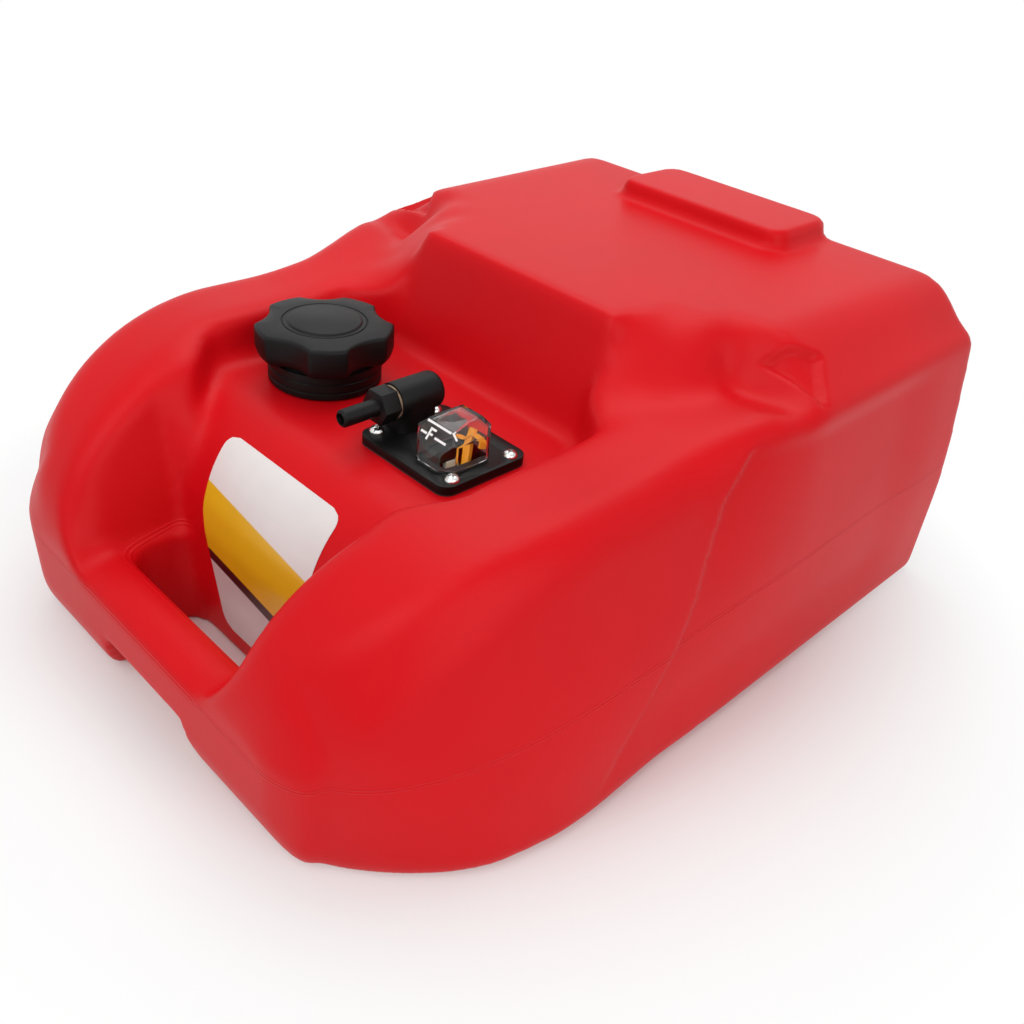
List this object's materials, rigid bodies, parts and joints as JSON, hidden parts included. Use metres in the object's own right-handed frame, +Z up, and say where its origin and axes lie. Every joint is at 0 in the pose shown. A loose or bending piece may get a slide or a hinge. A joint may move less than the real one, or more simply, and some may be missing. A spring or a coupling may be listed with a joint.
{
  "type": "portable fuel tank",
  "caption": "Low red moulded fuel tank with a carrying handle, lobed vented filler cap, hose elbow and a float gauge under a clear lens.",
  "frame": {"origin": "middle of the footprint, on the surface that the tank stands on", "axes": "+Z up, +Y to the rear block, -Y to the handle, +X to the right seen from the handle"},
  "size_m": [0.3794, 0.463, 0.208],
  "materials": {
    "tank_red": "satin moulded polyethylene with a fine grain",
    "label_print": "printed film",
    "black_plastic": "matt moulded nylon",
    "seal_rubber": "soft rubber",
    "white_plastic": "natural moulded plastic",
    "spring_steel": "drawn wire",
    "washer_fibre": "pressed fibre",
    "pointer_orange": "bright moulded plastic",
    "float_foam": "closed-cell foam",
    "clear_lens": "clear moulded plastic",
    "screw_steel": "bright plated steel"
  },
  "bodies": {
    "tank": {"tank_shell": "tank_red", "tank_label": "label_print", "plate_gasket": "seal_rubber", "pickup_head": "black_plastic", "hose_barb": "black_plastic", "barb_washer": "washer_fibre", "pickup_tube": "white_plastic", "pickup_strainer": "white_plastic", "gauge_bracket": "white_plastic", "gauge_pin": "spring_steel", "gauge_lens": "clear_lens", "lens_seal": "seal_rubber", "plate_screws": "screw_steel"},
    "cap_seal": {"cap_gasket": "seal_rubber"},
    "cap": {"cap_shell": "black_plastic", "cap_insert": "black_plastic", "vent_cage": "white_plastic", "vent_spring": "spring_steel"},
    "vent": {"vent_poppet": "seal_rubber"},
    "gauge": {"gauge_pointer": "pointer_orange", "float_arm": "spring_steel", "gauge_float": "float_foam", "float_stop": "spring_steel"}
  },
  "joints": [
    {"name": "cap_lift", "type": "slide", "parent": "tank", "child": "cap_seal", "axis": [0, 0, 1], "range_m": [0, 0.08]},
    {"name": "cap_turn", "type": "hinge", "parent": "cap_seal", "child": "cap", "pos_m": [-0.058, -0.0775, 0.15], "axis": [0, 0, 1], "range_deg": [0, 450]},
    {"name": "vent_open", "type": "slide", "parent": "cap", "child": "vent", "axis": [0, 0, -1], "range_m": [0, 0.002], "stiffness_N_per_m": 60, "springref_m": -0.003, "deforming": ["vent_spring"]},
    {"name": "gauge_swing", "type": "hinge", "parent": "tank", "child": "gauge", "pos_m": [0.0555, -0.0785, 0.122], "axis": [1, 0, 0], "range_deg": [0, 52]}
  ]
}
